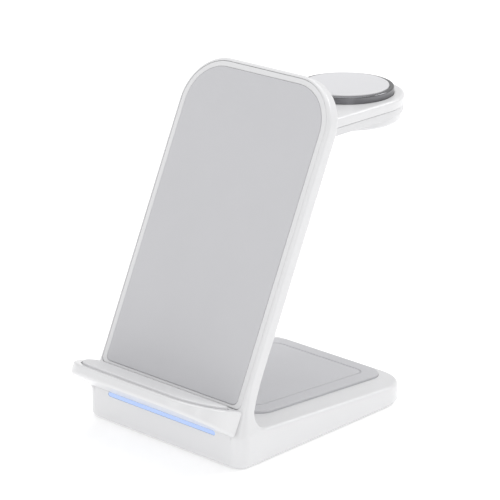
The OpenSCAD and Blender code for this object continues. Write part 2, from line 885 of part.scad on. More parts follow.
module watch_coil_ferrite() {
    color(ferrite_black) translate([0, puck_y, puck_top - 1.7 - coil_t - 0.6])
        flat_coil(puck_cap_r - 1.3, 4.2, 0.6);
}

module watch_magnet() {
    color(steel) translate([0, puck_y, puck_seat]) cylinder(r = 3.9, h = 1.8);
}

main_housing();
base_bottom_cover();
rubber_feet();
base_screws();
counterweight();
main_circuit_board();
board_screws();
usb_c_socket();
earbuds_pad();
earbuds_coil();
earbuds_coil_ferrite();
light_bar();
led_board();
phone_ledge();
ledge_grip_pad();
panel_front_frame();
phone_pad();
phone_coil_upper();
phone_coil_lower();
phone_coil_ferrite();
coil_driver_board();
arm_flange();
arm_upper_shell();
arm_band();
arm_lower_cover();
arm_bracket();
arm_screws();
puck_ring();
watch_puck();
watch_coil();
watch_coil_ferrite();
watch_magnet();
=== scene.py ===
# %% [markdown]
# # A three-in-one wireless charging stand
# The stand has a low base with a charging pad on its deck, a panel that leans back over a
# ledge and hides two coils, and a level arm behind it that ends in a round puck. The CAD
# model gives every size and place. Here each piece that shows is made again as a finer
# mesh in the same frame, and the pieces inside get their windings, screws and finishes.

# %% Load the frame
from math import sin, cos, tan, pi, radians, degrees, sqrt, atan

import bmesh
import bpy
import numpy as np
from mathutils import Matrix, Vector


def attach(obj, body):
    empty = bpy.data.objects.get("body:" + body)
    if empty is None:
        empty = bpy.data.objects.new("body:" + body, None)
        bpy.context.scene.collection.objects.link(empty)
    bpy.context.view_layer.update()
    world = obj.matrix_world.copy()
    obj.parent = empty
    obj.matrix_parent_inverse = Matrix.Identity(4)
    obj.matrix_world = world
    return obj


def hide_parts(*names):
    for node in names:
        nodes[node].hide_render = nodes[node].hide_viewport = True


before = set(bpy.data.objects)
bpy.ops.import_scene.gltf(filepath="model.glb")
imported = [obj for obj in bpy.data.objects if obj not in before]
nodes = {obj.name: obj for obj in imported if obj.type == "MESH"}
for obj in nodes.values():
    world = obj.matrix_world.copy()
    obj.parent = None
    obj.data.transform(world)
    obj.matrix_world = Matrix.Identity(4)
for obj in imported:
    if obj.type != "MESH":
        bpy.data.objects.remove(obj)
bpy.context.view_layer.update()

MM = 0.001

# %% [markdown]
# ## Sizes
# These are the CAD model's own sizes in millimetres. The stand is centred over its whole
# reach, from the ledge's nose to the end of the arm, so the place of the base's front
# face is worked out from those two. Sizes that only one piece needs come with that piece.

# %% Sizes
base_w, base_d, base_h, base_back_h = 71.0, 86.5, 11.6, 6.3
panel_w, panel_t, lean = 66.0, 5.4, radians(25.25)
base_z = 0.5
base_top, kink_z, top_z = base_z + base_h, base_z + 11.0, base_z + 117.3
panel_len = (top_z - kink_z) / cos(lean)
ledge_reach, ledge_top, ledge_face_h, ledge_rise = 20.0, 6.6, 3.3, radians(5.5)
chin_r = 1.2
ledge_low = ledge_top - ledge_face_h
arm_w, watch_y = 40.0, 90.0
ledge_nose = (ledge_reach - chin_r) * cos(lean) - (ledge_low + chin_r) * sin(lean) + chin_r
front_y = -(watch_y + arm_w / 2 - ledge_nose) / 2
puck_y = front_y + watch_y
print("panel is", round(panel_len, 2), "mm long, base's front at y =", round(front_y, 2))

# %% [markdown]
# ## Camera
# The photograph was taken with a long lens from the front right and a little above. The
# place and lens below bring the base's corners and the panel's edges onto the same spots
# of a 500 x 500 picture. The camera's place is counted from the base's front right
# corner, which is the nearest point of the base.

# %% Camera
camera_azimuth, camera_elevation = 43.11, 19.0
camera_data = bpy.data.cameras.new("camera")
camera_data.lens = 180.05
camera_data.sensor_width = 36
camera = bpy.data.objects.new("camera", camera_data)
nearest_corner = Vector((base_w / 2, front_y, base_z))
corner_to_camera = Vector((501.0, -530.5, 326.1))
camera.location = (nearest_corner + corner_to_camera) * MM
camera.rotation_euler = (radians(90 - camera_elevation), 0, radians(camera_azimuth))
bpy.context.scene.collection.objects.link(camera)
bpy.context.scene.camera = camera
print("camera at", [round(c, 4) for c in camera.location])

# %% [markdown]
# ## Three tilted frames
# The panel leans, the deck slopes down a little to the back, and the ledge's top rises
# towards the panel. Each gets its own frame, so that a flat outline can be drawn once and
# laid on it: x always runs across the stand.

# %% Frames
back_shift = panel_t / cos(lean) + (base_top - kink_z) * tan(lean)
deck_slope = atan((base_h - base_back_h) / (base_d - back_shift))


def panel_point(x, v, w):
    """v up the panel's slope from where it meets the base's front, w out of its face."""
    return (x, front_y + v * sin(lean) - w * cos(lean), kink_z + v * cos(lean) + w * sin(lean))


def deck_point(x, y, h):
    """y back along the deck from over the base's front, h up from the deck."""
    back = y - back_shift
    return (x, front_y + back_shift + back * cos(deck_slope) + h * sin(deck_slope),
            base_top - back * sin(deck_slope) + h * cos(deck_slope))


def ledge_point(x, s, h):
    """s back along the ledge's top from its nose, h up from it."""
    return panel_point(x, ledge_top + s * sin(ledge_rise) + h * cos(ledge_rise),
                       ledge_reach - s * cos(ledge_rise) + h * sin(ledge_rise))


def flat(plan, z):
    return [(x, front_y + y, z) for x, y in plan]


def leaning(plan, w):
    return [panel_point(x, v, w) for x, v in plan]


def on_deck(plan, h):
    return [deck_point(x, y, h) for x, y in plan]


def on_ledge(plan, h):
    return [ledge_point(x, s, h) for x, s in plan]


print("deck slopes", round(degrees(deck_slope), 2), "degrees")

# %% [markdown]
# ## Outlines and levels
# Moulded pieces are mostly one outline, stacked up with its edge rolled over at the top
# and the bottom. A Bevel modifier could round such edges too, but it holds its width down
# to the narrow faces of a curved wall. So these helpers give the outline, and the levels
# of the stack with how far the outline is drawn in at each.

# %% Outlines
def arc(cx, cy, r, start, end, steps):
    """Points of an arc from one angle to another, in degrees."""
    angles = np.radians(np.linspace(start, end, steps + 1))
    return [(cx + r * cos(a), cy + r * sin(a)) for a in angles]


def circle(cx, cy, r, steps):
    """Points of a full circle, the first not repeated at the end."""
    return arc(cx, cy, r, 0, 360, steps)[:-1]


def rounded_plan(w, y0, y1, near_r, far_r, steps=10):
    """A rectangle about x = 0 with one radius at its near corners and one at its far ones."""
    h = w / 2
    return (arc(-h + near_r, y0 + near_r, near_r, 180, 270, steps)
            + arc(h - near_r, y0 + near_r, near_r, 270, 360, steps)
            + arc(h - far_r, y1 - far_r, far_r, 0, 90, steps)
            + arc(-h + far_r, y1 - far_r, far_r, 90, 180, steps))


def rolled(depth, r):
    """How far an edge of radius r is drawn in at a depth under the face."""
    return r - sqrt(r * r - (r - depth) ** 2) if depth < r else 0.0


def edge_levels(r, steps=6):
    """Depths under a face, from the face down, with how far each is drawn in."""
    return [(r * (1 - cos(a)), r * (1 - sin(a))) for a in np.linspace(0, pi / 2, steps + 1)]


def roll(height, low_r, high_r, steps=5):
    """Levels of a stack whose edge rolls over at both faces: (level, drawn in)."""
    low = edge_levels(low_r, steps)
    high = [(height - d, i) for d, i in edge_levels(high_r, steps)][::-1]
    return low + [p for p in high if p[0] - low[-1][0] > 1e-6]


print("an outline has", len(rounded_plan(2, 0, 2, 1, 1)), "points, an edge",
      len(edge_levels(1)), "levels")

# %% [markdown]
# ## Skins
# A skin joins rings of points with bands of four-sided faces and closes its ends. A turned
# piece is the same thing bent round: its profile is one ring, and the last ring meets the
# first. Each mesh is then tidied, because doubled points would shade as creases and a
# face that looks inwards would export inside out.

# %% Skins
def new_object(name, mesh):
    obj = bpy.data.objects.new(name, mesh)
    bpy.context.scene.collection.objects.link(obj)
    return obj


def close_up(mesh, merge=1e-4):
    """Merges points nearer than a distance in mm, drops empty faces and turns faces out."""
    bm = bmesh.new()
    bm.from_mesh(mesh)
    bmesh.ops.remove_doubles(bm, verts=bm.verts, dist=merge * MM)
    bmesh.ops.dissolve_degenerate(bm, edges=bm.edges, dist=merge * MM / 10)
    bmesh.ops.delete(bm, geom=[e for e in bm.edges if not e.link_faces], context="EDGES")
    bmesh.ops.recalc_face_normals(bm, faces=bm.faces)
    bm.to_mesh(mesh)
    bm.free()


def bands(n, rings, bent_round=False):
    """Four-sided faces between rings of n points, from the last to the first if bent round."""
    return [(k * n + i, k * n + (i + 1) % n,
             (k + 1) % rings * n + (i + 1) % n, (k + 1) % rings * n + i)
            for k in range(rings if bent_round else rings - 1) for i in range(n)]


def closed_piece(name, points, faces):
    """A tidied mesh object from points in mm."""
    mesh = bpy.data.meshes.new(name)
    mesh.from_pydata([tuple(c * MM for c in p) for p in points], [], faces)
    close_up(mesh)
    return new_object(name, mesh)


def skin(name, rings, ends=None):
    """A closed mesh over rings with the same number of points, with flat ends or given ones."""
    n = len(rings[0])
    faces = bands(n, len(rings))
    for end in ends or [tuple(range(n))]:
        faces.append(end[::-1])
        faces.append(tuple(i + (len(rings) - 1) * n for i in end))
    return closed_piece(name, [p for ring in rings for p in ring], faces)


def turned(name, profile, place=(0, 0, 0), steps=96):
    """A solid of revolution about an upright axis, from a closed profile (radius, height)."""
    points = [(place[0] + r * cos(a), place[1] + r * sin(a), place[2] + z)
              for a in np.linspace(0, 2 * pi, steps, endpoint=False) for r, z in profile]
    return closed_piece(name, points, bands(len(profile), steps, bent_round=True))


print("a band between two rings of 40 points has", len(bands(40, 2)), "faces")

# %% [markdown]
# ## Cuts, shading and bookkeeping
# A moulding tool leaves hollows where its cores stood, so cuts are real Booleans with
# block-shaped cores. Each Boolean is applied at once, which keeps every piece a plain
# mesh. A Weighted Normal modifier, applied too, keeps broad faces flat beside small
# rolled edges. Last, the CAD nodes that each piece stands for are hidden.

# %% Booleans, shading and bookkeeping
sharp_angle = 32


def evaluated(obj):
    """Turns an object with its modifiers into a plain mesh object."""
    graph = bpy.context.evaluated_depsgraph_get()
    mesh = bpy.data.meshes.new_from_object(obj.evaluated_get(graph), depsgraph=graph)
    obj.modifiers.clear()
    obj.data = mesh
    return obj


def combine(obj, other, operation):
    """Joins or cuts with another solid, and takes that solid away."""
    step = obj.modifiers.new("step", "BOOLEAN")
    step.operation, step.object, step.solver = operation, other, "MANIFOLD"
    evaluated(obj)
    bpy.data.objects.remove(other)
    return obj


def core(*rings):
    """A block that is only there to be cut away."""
    return skin("core", rings)


def prism(plan, lay, low, high):
    """A straight block over a plan laid on one of the frames."""
    return core(lay(plan, low), lay(plan, high))


def cut(obj, *cores):
    for block in cores:
        combine(obj, block, "DIFFERENCE")


def shade(obj, angle=sharp_angle):
    """Smooth shading with sharp edges kept, and flat faces that stay flat."""
    obj.data.shade_smooth()
    obj.data.set_sharp_from_angle(angle=radians(angle))
    weighted = obj.modifiers.new("weighted", "WEIGHTED_NORMAL")
    weighted.keep_sharp = True
    return evaluated(obj)


def dress(obj, material, slot, *replaced):
    """Gives a piece its material and its body, and hides the CAD nodes it stands for."""
    obj.data.materials.clear()
    obj.data.materials.append(material)
    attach(obj, "root")
    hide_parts(*replaced)
    print(obj.name, "has", len(obj.data.polygons), "faces")
    return obj


print("edges over", sharp_angle, "degrees stay sharp")

# %% [markdown]
# ## Plastic finishes
# The stand is white moulded plastic with a soft gloss: nearly flat colour, a faint
# unevenness left by the mould, and a gloss that changes a little from place to place. The
# pads have a light grey soft-touch coat with a very fine grain. Each finish is noise in
# the piece's own coordinates, so it stays on the surface from every side.

# %% Plastic finishes
def plastic(name, colour, roughness, grain=0.0, grain_size=0.25, coat=0.0, mottle=0.02,
            peel=0.0):
    """A moulded plastic: slight colour variation, a fine grain and an uneven gloss."""
    cloud_size, gloss_size, peel_size, gloss_swing = 16, 5, 1.4, 0.08
    peel_depth, grain_depth = 0.004, 0.02
    mat = bpy.data.materials.new(name)
    mat.use_nodes = True
    tree = mat.node_tree
    shader = tree.nodes["Principled BSDF"]
    place = tree.nodes.new("ShaderNodeTexCoord")

    def noise(size, detail):
        node = tree.nodes.new("ShaderNodeTexNoise")
        node.inputs["Scale"].default_value = 1000 / size
        node.inputs["Detail"].default_value = detail
        tree.links.new(place.outputs["Object"], node.inputs["Vector"])
        return node.outputs["Fac"]

    tint = tree.nodes.new("ShaderNodeMix")
    tint.data_type = "RGBA"
    tint.inputs["A"].default_value = (*[c * (1 - mottle) for c in colour], 1)
    tint.inputs["B"].default_value = (*colour, 1)
    tree.links.new(noise(cloud_size, 4), tint.inputs["Factor"])
    tree.links.new(tint.outputs["Result"], shader.inputs["Base Color"])
    gloss = tree.nodes.new("ShaderNodeMapRange")
    gloss.inputs["To Min"].default_value = roughness * (1 - gloss_swing)
    gloss.inputs["To Max"].default_value = roughness * (1 + gloss_swing)
    tree.links.new(noise(gloss_size, 3), gloss.inputs["Value"])
    tree.links.new(gloss.outputs["Result"], shader.inputs["Roughness"])
    normal = None
    for strength, size, depth in ((peel, peel_size, peel_depth), (grain, grain_size, grain_depth)):
        if not strength:
            continue
        bump = tree.nodes.new("ShaderNodeBump")
        bump.inputs["Strength"].default_value = strength
        bump.inputs["Distance"].default_value = depth * MM
        tree.links.new(noise(size, 2), bump.inputs["Height"])
        if normal:
            tree.links.new(normal, bump.inputs["Normal"])
        normal = bump.outputs["Normal"]
    if normal:
        tree.links.new(normal, shader.inputs["Normal"])
    shader.inputs["Coat Weight"].default_value = coat
    shader.inputs["Coat Roughness"].default_value = 0.12
    return mat


gloss_white = plastic("white_gloss_plastic", (0.76, 0.76, 0.77), 0.3, coat=0.25, peel=0.5)
satin_white = plastic("white_satin_plastic", (0.73, 0.73, 0.74), 0.42, grain=0.3)
soft_grey = plastic("soft_touch_grey", (0.585, 0.585, 0.605), 0.62, grain=0.6, mottle=0.04)
silicone = plastic("milky_silicone", (0.74, 0.74, 0.75), 0.5, grain=0.3, mottle=0.03)
silicone_shader = silicone.node_tree.nodes["Principled BSDF"]
silicone_shader.inputs["Subsurface Weight"].default_value = 0.2
silicone_shader.inputs["Subsurface Radius"].default_value = (1, 1, 1)
silicone_shader.inputs["Subsurface Scale"].default_value = 0.8 * MM
rubber = plastic("foot_rubber", (0.30, 0.30, 0.31), 0.7, grain=0.5, mottle=0.06)
puck_white = plastic("puck_satin_plastic", (0.68, 0.68, 0.70), 0.38, grain=0.2)
print("plastic finishes:", len(bpy.data.materials))

# %% [markdown]
# ## Metal, board and light finishes
# The puck's ring, the screws and the copper are bare metal, which only needs the same
# recipe with its Metallic socket at one. The light bar is milky plastic that glows: its
# emission is set on the shader's own sockets, because the export keeps it there.

# %% Metal, board and light finishes
def metal(name, colour, roughness, mottle=0.06):
    """A plain metal with a faint grain."""
    mat = plastic(name, colour, roughness, grain=0.2, mottle=mottle)
    mat.node_tree.nodes["Principled BSDF"].inputs["Metallic"].default_value = 1.0
    return mat


# The ring is dark grey metal, its colour darkened further as painted shade: the shadow a watch on
# the puck would cast.
ring_finish_with_painted_shade = metal("satin_ring_aluminium_with_painted_shade", (0.19, 0.19, 0.2), 0.24)
steel = metal("plain_steel", (0.55, 0.56, 0.58), 0.3)
weight = metal("weight_steel", (0.4, 0.41, 0.42), 0.45)
aluminium = metal("bracket_aluminium", (0.62, 0.63, 0.65), 0.35)
copper = metal("wound_copper", (0.72, 0.38, 0.2), 0.35)
ferrite = plastic("dark_ferrite", (0.03, 0.03, 0.035), 0.6, grain=0.5, mottle=0.3)
board_green = plastic("circuit_board_green", (0.03, 0.16, 0.08), 0.4, grain=0.2, mottle=0.3)

light_glow = plastic("lit_diffuser", (0.26, 0.31, 0.42), 0.4, grain=0.2)
glow_shader = light_glow.node_tree.nodes["Principled BSDF"]
glow_shader.inputs["Emission Color"].default_value = (0.40, 0.56, 0.95, 1)
glow_shader.inputs["Emission Strength"].default_value = 0.6
print("finishes:", len(bpy.data.materials))

# %% [markdown]
# ## Main housing
# One moulding makes the base's walls and deck and the whole leaning panel. It is the
# hardest shape of the stand. It could be carved with subdivision, but its form follows
# plain rules, so three stacks with rolled edges are joined: the wedge-shaped base, the
# panel, whose sides draw in on an arc, and the hollow fillet behind it. The base comes
# first. Its lower levels lie flat, its upper ones lie on the sloping deck, and what would
# stand before the panel is cut away.

# %% Base wedge
front_corner_r, back_corner_r, edge_r = 5.0, 13.0, 1.3


def base_plan(inset):
    return rounded_plan(base_w - 2 * inset, inset, base_d - inset, front_corner_r - inset,
                        back_corner_r - inset, 14)


base_rings = [flat(base_plan(i), base_z + d) for d, i in edge_levels(edge_r)]
base_rings += [on_deck(base_plan(i), -d) for d, i in edge_levels(edge_r)[::-1]]
housing = skin("main_housing_shell", base_rings)
beyond = 60
before_panel = [(-beyond, 0), (beyond, 0), (beyond, beyond), (-beyond, beyond)]
cut(housing, prism(before_panel, leaning, 0, beyond))
print("base wedge has", len(housing.data.polygons), "faces")

# %% [markdown]
# The panel is a stack too, laid on its back: each ring is its outline at one depth behind
# its front face. Low down its sides are as wide as the base and draw in on an arc. Its
# front edge starts as round as the base's corner and narrows on the way up, so the two
# run into each other. Rings allow that, where one bevel width would not.

# %% Leaning panel
panel_corner_r, flare_h = 17.0, 18.0
hair = 0.005  # keeps a rolled edge just inside the CAD model's box
arc_end_v, straight_start_v, foot_drop = 30, 34, 1.0
side_draw = (base_w - panel_w) / 2
flare_r = (flare_h ** 2 + side_draw ** 2) / (2 * side_draw)
flare_top = kink_z + flare_h
flare_len = flare_h / cos(lean) + panel_t * tan(lean)


def half_w(z):
    """Half the housing's width at a height, in the arc that draws its sides in."""
    return panel_w / 2 + flare_r - sqrt(flare_r ** 2 - min(max(flare_top - z, 0), flare_h) ** 2)


def front_edge_r(v):
    """The front edge starts as the base's corner and narrows up the panel."""
    start = min(front_corner_r, panel_t - edge_r)
    return edge_r + (start - edge_r) * max(1 - v / flare_len, 0) ** 2


def panel_ring(t):
    """The panel's outline at a depth t behind its front face."""
    low_v = t * tan(lean)
    corner_v = panel_len - panel_corner_r - hair
    corner_x = panel_w / 2 - panel_corner_r
    side = []
    for v in np.concatenate([np.linspace(low_v, arc_end_v, 26),
                             np.linspace(straight_start_v, corner_v, 14)]):
        inset = max(rolled(t, front_edge_r(v)), rolled(panel_t - t, edge_r))
        side.append((half_w(panel_point(0, v, -t)[2]) - inset, v))
    inset = max(rolled(t, edge_r), rolled(panel_t - t, edge_r))
    half = side + arc(corner_x, corner_v, panel_corner_r - inset, 0, 90, 24)[1:]
    ring = leaning(half + [(-x, v) for x, v in half[::-1]], -t)
    foot = [(p[0], p[1], p[2] - foot_drop) for p in (ring[0], ring[-1])]
    return [foot[0]] + ring + [foot[1]]


widest_r, least_step = front_edge_r(0), 0.004
depths = sorted({0.0, *[widest_r * (1 - cos(a)) for a in np.linspace(0.12, pi / 2, 10)],
                 *[edge_r * (1 - cos(a)) for a in np.linspace(0.3, pi / 2, 6)],
                 *[panel_t - edge_r * (1 - cos(a)) for a in np.linspace(0, pi / 2, 7)]})
depths = [d for i, d in enumerate(depths) if i == 0 or d - depths[i - 1] > least_step]
combine(housing, skin("panel", [panel_ring(t) for t in depths]), "UNION")
print("panel is stacked from", len(depths), "rings")

# %% [markdown]
# Behind the panel a hollow fillet runs down onto the deck, as moulds avoid a sharp inner
# corner, where plastic cracks. Its rings run across the stand. At each side the fillet
# fades into the housing's rolled edge, and its end is closed level by level, because the
# side it lies in is curved.

# %% Hollow fillet behind the panel
notch_r, below_deck, up_panel, into_panel = 5.0, 3, 1.1, 1.4
notch_run = notch_r / tan((pi / 2 - lean + deck_slope) / 2)
foot_y = back_shift + notch_run * cos(deck_slope)
foot_z = base_top - notch_run * sin(deck_slope)
notch_y, notch_z = foot_y + notch_r * sin(deck_slope), foot_z + notch_r * cos(deck_slope)
behind_corner = front_corner_r + 0.05


def fillet_ring(inset, side):
    """The fillet's profile at a distance in from the housing's side, level by level."""
    r = notch_r + rolled(inset, edge_r)
    to_panel, to_deck = pi - lean, 1.5 * pi - deck_slope
    outer = [(notch_y, base_top - below_deck)]
    outer += [(notch_y + r * cos(a), notch_z + r * sin(a))
              for a in np.linspace(to_deck, to_panel, 17)]
    outer += [(notch_y + (r + up_panel) * cos(to_panel), notch_z + (r + up_panel) * sin(to_panel))]
    inner = [(max(back_shift + (z - base_top) * tan(lean) - into_panel, behind_corner), z)
             for _, z in outer]
    return [(side * (half_w(z) - inset - hair), front_y + y, z) for y, z in outer + inner[::-1]]


def end_strips(n):
    """Faces for the end of the fillet, one strip for each level, as its side is curved."""
    return [(k, k + 1, n - 2 - k, n - 1 - k) for k in range(n // 2 - 1)]


middle_inset = 20
insets = [i for _, i in edge_levels(edge_r, 7)][::-1] + [middle_inset]
rings = [fillet_ring(i, 1) for i in insets] + [fillet_ring(i, -1) for i in insets[::-1]]
fillet = skin("fillet", rings, end_strips(len(rings[0])))
combine(housing, fillet, "UNION")
print("housing has", len(housing.data.polygons), "faces before its hollows")

# %% [markdown]
# The hollows are cut as the moulding tool's cores would leave them. The first is the open
# underside, which leaves even walls and a deck that cool without sink marks. Four posts
# reach down from the deck and take the screws of the bottom cover.

# %% Hollow underside
wall, deck_t, cavity_start, cavity_corner_r = 2.0, 1.6, 7.5, 2


def under_deck(plan, depth):
    """A plan raised to a depth under the sloping deck, with its walls upright."""
    drop = depth / cos(deck_slope)
    return [(x, front_y + y, base_top - (y - back_shift) * tan(deck_slope) - drop)
            for x, y in plan]


cavity = rounded_plan(base_w - 2 * wall, cavity_start, base_d - wall, cavity_corner_r,
                      back_corner_r - wall)
cut(housing, core(flat(cavity, base_z - 1), under_deck(cavity, deck_t)))
post_r, cover_post_h, screw_r, screw_slack, screw_hole_h = 3.0, 2.6, 1.0, 0.05, 5.6
screw_x = base_w / 2 - wall - post_r - 3
screw_front, screw_back = cavity_start + 7.5, base_d - wall - 9.5
screw_places = [(x, y) for x in (-screw_x, screw_x) for y in (screw_front, screw_back)]
for x, y in screw_places:
    post = circle(x, y, post_r, 32)
    combine(housing, skin("post", [flat(post, base_z + cover_post_h),
                                   under_deck(post, deck_t / 2)]), "UNION")
    cut(housing, prism(circle(x, y, screw_r + screw_slack, 24), flat,
                       base_z, base_z + screw_hole_h))
print(len(screw_places), "screw posts under the deck")

# %% [markdown]
# The deck's pad lies in a shallow bed. The panel has a recess for its front frame, a
# deeper pocket for the coils and a channel that leads their wires down into the base.
# Straight cores cut all of them, each laid on the frame of the face it sinks into.

# %% Pad bed, panel recess and wire channel
fit = 0.15
bud_pad_w, bud_pad_l, bud_pad_back, bud_pad_r, bud_inset, bud_pad_t = 52, 65, 3, 7, 0.7, 1.6
bud_far = base_d - bud_pad_back


def bud_plan(gap, steps=12):
    return rounded_plan(bud_pad_w + 2 * gap, bud_far - bud_pad_l - gap, bud_far + gap,
                        bud_pad_r + gap, bud_pad_r + gap, steps)


cut(housing, prism(bud_plan(fit), on_deck, -bud_inset, 1))
rim_w, frame_w, frame_t, frame_lip, frame_gap = 1.1, 2.0, 2.0, 2.4, 0.3
back_wall, low_corner_r = 1.2, 2
ledge_root = ledge_top + ledge_reach * tan(ledge_rise)
frame_start = ledge_root + frame_gap
pad_start = frame_start + frame_w / 2
frame_end = panel_len - rim_w
pad_end = frame_end - frame_w
pocket_start, pocket_floor = pad_start + frame_lip, -panel_t + back_wall
recess = rounded_plan(panel_w - 2 * rim_w, frame_start - fit, frame_end, low_corner_r,
                      panel_corner_r - rim_w, 16)
pocket = rounded_plan(panel_w - 2 * (rim_w + frame_w + frame_lip), pocket_start,
                      pad_end - frame_lip, low_corner_r,
                      panel_corner_r - rim_w - frame_w - frame_lip)
channel_near, channel_far, channel_foot, channel_head = 13, 23, -2, pocket_start + 1
channel = [(channel_near, channel_foot), (channel_far, channel_foot),
           (channel_far, channel_head), (channel_near, channel_head)]
cut(housing, prism(recess, leaning, -frame_t, 1), prism(pocket, leaning, pocket_floor, -1),
    prism(channel, leaning, pocket_floor, -frame_t))
print("bed", bud_inset, "mm deep, pocket", -pocket_floor, "mm deep")

# %% [markdown]
# Two slots with round ends go through the walls: a long thin one in the base's front for
# the light bar, and the mouth of the power socket in its back. The housing is then
# complete, so it is tidied, shaded and dressed.

# %% Light slot and socket mouth
def upright_slot(l, h, y0, y1, z):
    """A slot with round ends that runs through a wall from front to back."""
    plan = arc(-(l - h) / 2, 0, h / 2, 90, 270, 12) + arc((l - h) / 2, 0, h / 2, -90, 90, 12)
    return core(*[[(x, front_y + y, z + up) for x, up in plan] for y in (y0, y1)])


light_l, light_h, light_z, light_floor = 49, 1.3, 9.5, 4.4
bar_z = base_z + light_z + light_h / 2
chamber = [(-light_l / 2 - 1, wall), (light_l / 2 + 1, wall),
           (light_l / 2 + 1, cavity_start + 1), (-light_l / 2 - 1, cavity_start + 1)]
port_w, port_h, cover_t, port_slack = 8.94, 3.26, 1.4, 0.05
port_z = base_z + cover_t + port_slack + port_h / 2
cut(housing, upright_slot(light_l + 2 * fit, light_h + 2 * fit, -1, wall + 2, bar_z),
    prism(chamber, flat, base_z + light_floor, base_z + light_z + light_h + fit),
    upright_slot(port_w + 2 * fit, port_h + 2 * fit, base_d - wall - 1, base_d + 1, port_z))
close_up(housing.data, 0.03)
shade(housing)
dress(housing, gloss_white, "white_gloss_plastic", "main_housing")

# %% [markdown]
# ## Panel's front
# A slim white frame lies in the panel's recess and holds the soft-touch pad. A line drawn
# in a material could stand for the seam between them, but a real gap catches a true
# shadow line from every side, so both are separate pieces with a gap.

# %% Front frame and panel pad
seam, pad_edge_t, pad_proud = 0.08, 1.2, 0.2


def frame_ring(inset, w):
    return leaning(rounded_plan(panel_w - 2 * rim_w - 2 * seam - 2 * inset, frame_start + inset,
                                frame_end - seam - inset, low_corner_r,
                                panel_corner_r - rim_w - seam - inset, 16), w)


def pad_ring(inset, w):
    return leaning(rounded_plan(panel_w - 2 * (rim_w + frame_w) - 2 * inset, pad_start + inset,
                                pad_end - inset, low_corner_r,
                                panel_corner_r - rim_w - frame_w - inset, 16), w)


front_frame = skin("panel_front_frame_rim", [frame_ring(i, h - frame_t)
                                             for h, i in roll(frame_t, 0.1, 0.3, 4)])
cut(front_frame, core(pad_ring(-seam, -pad_edge_t), pad_ring(-seam, 1)),
    core(pad_ring(frame_lip, -3), pad_ring(frame_lip, 1)))
shade(front_frame)
dress(front_frame, gloss_white, "white_gloss_plastic", "panel_front_frame")

pad_rings = [pad_ring(frame_lip + fit, -frame_t), pad_ring(frame_lip + fit, -pad_edge_t)]
pad_rings += [pad_ring(i, h - pad_edge_t) for h, i in roll(pad_edge_t + pad_proud, 0.05, 0.3, 4)]
phone_pad = skin("phone_pad_skin", pad_rings)
shade(phone_pad)
dress(phone_pad, soft_grey, "soft_touch_grey", "phone_pad")

# %% [markdown]
# ## Ledge
# The ledge is a broad shelf, nearly square to the panel. Seen from above it has two big
# round corners, and from the side it is a wedge: its top rises a little towards the panel
# and its underside runs back to the base's front, over the light. So its levels can't be
# parallel. Each ring is drawn between the two sloping faces, which keeps the rolled edges
# even all the way round.

# %% Ledge
ledge_corner_r, lip_r = 14.4, 0.7


def ledge_outline(inset, steps=24):
    """The ledge's plan (x, w), open against the panel: only its free edges are drawn in."""
    h, r, nose = panel_w / 2, ledge_corner_r, ledge_reach - 3 * hair
    return ([(h - inset, 0)] + arc(h - r, nose - r, r - inset, 0, 90, steps)
            + arc(-h + r, nose - r, r - inset, 90, 180, steps) + [(-h + inset, 0)])


def ledge_ring(depth, inset, from_top):
    """The ledge's outline at a depth from its top or its underside."""
    def v(w):
        if from_top:
            return ledge_top + (ledge_reach - w) * tan(ledge_rise) - depth
        return ledge_low * w / ledge_reach + depth
    return [panel_point(x, v(w), w) for x, w in ledge_outline(inset)]


ledge = skin("phone_ledge_shelf", [ledge_ring(d, i, False) for d, i in edge_levels(chin_r)]
             + [ledge_ring(d, i, True) for d, i in edge_levels(lip_r)[::-1]])
tongue_x, tongue_w, tongue_t, tongue_v = 0.31 * base_w, 10, 1.8, 2.35
tongue_l, tongue_root = 2.4, 0.5
for side in (-1, 1):
    x0, x1 = side * tongue_x - tongue_w / 2, side * tongue_x + tongue_w / 2
    tongue = [(x0, tongue_v), (x1, tongue_v), (x1, tongue_v + tongue_t), (x0, tongue_v + tongue_t)]
    combine(ledge, prism(tongue, leaning, -tongue_l, tongue_root), "UNION")
print("ledge has", len(ledge.data.polygons), "faces before its bed is cut")

# %% [markdown]
# A milky silicone strip lies in a bed on the ledge, so that nothing slides off. It stands
# a little proud, and a narrow groove runs round it, which shows as a dark line behind the
# ledge's lip. Bed and strip share one plan, let out or drawn in by a gap.

# %% Grip strip
grip_in, grip_side, grip_back, grip_gap, grip_inset, grip_t = 2.0, 2.5, 2.4, 0.5, 0.7, 1.6
grip_back_r = 1.5
ledge_run = ledge_reach / cos(ledge_rise)


def grip_plan(gap):
    return rounded_plan(panel_w - 2 * grip_side - 2 * gap, grip_in + gap,
                        ledge_run - grip_back - gap, ledge_corner_r - grip_in - gap,
                        grip_back_r, 20)


cut(ledge, prism(grip_plan(0), on_ledge, -grip_inset, 1))
shade(ledge)
dress(ledge, gloss_white, "white_gloss_plastic", "phone_ledge")
grip = skin("ledge_grip_strip", [on_ledge(grip_plan(grip_gap + i), h - grip_inset)
                                 for h, i in roll(grip_t, 0.05, 0.4, 5)])
shade(grip)
dress(grip, silicone, "clear_silicone", "ledge_grip_pad")

# %% [markdown]
# ## Light
# A thin milky bar glows pale blue under the ledge and washes the base's front face. It
# fills the slot that was cut for it, so the slot's own helper makes it, a little smaller.

# %% Light bar
bar_in = 0.02
light_bar = upright_slot(light_l, light_h, bar_in, wall + 1, bar_z)
light_bar.name = "light_bar_diffuser"
shade(light_bar)
dress(light_bar, light_glow, "light_diffuser", "light_bar")

# %% [markdown]
# ## Deck pad
# A soft-touch pad lies in the shallow bed on the deck. A fine groove runs round its seat.
# The groove is a thin ring-shaped core with slanted walls, as in a real mould, where
# upright walls would not come free.

# %% Deck pad
pad_top = bud_pad_t - bud_inset
earbuds_pad = skin("earbuds_pad_skin", [on_deck(bud_plan(-i, 14), h - bud_inset)
                                        for h, i in roll(bud_pad_t, 0.05, 0.45, 5)])


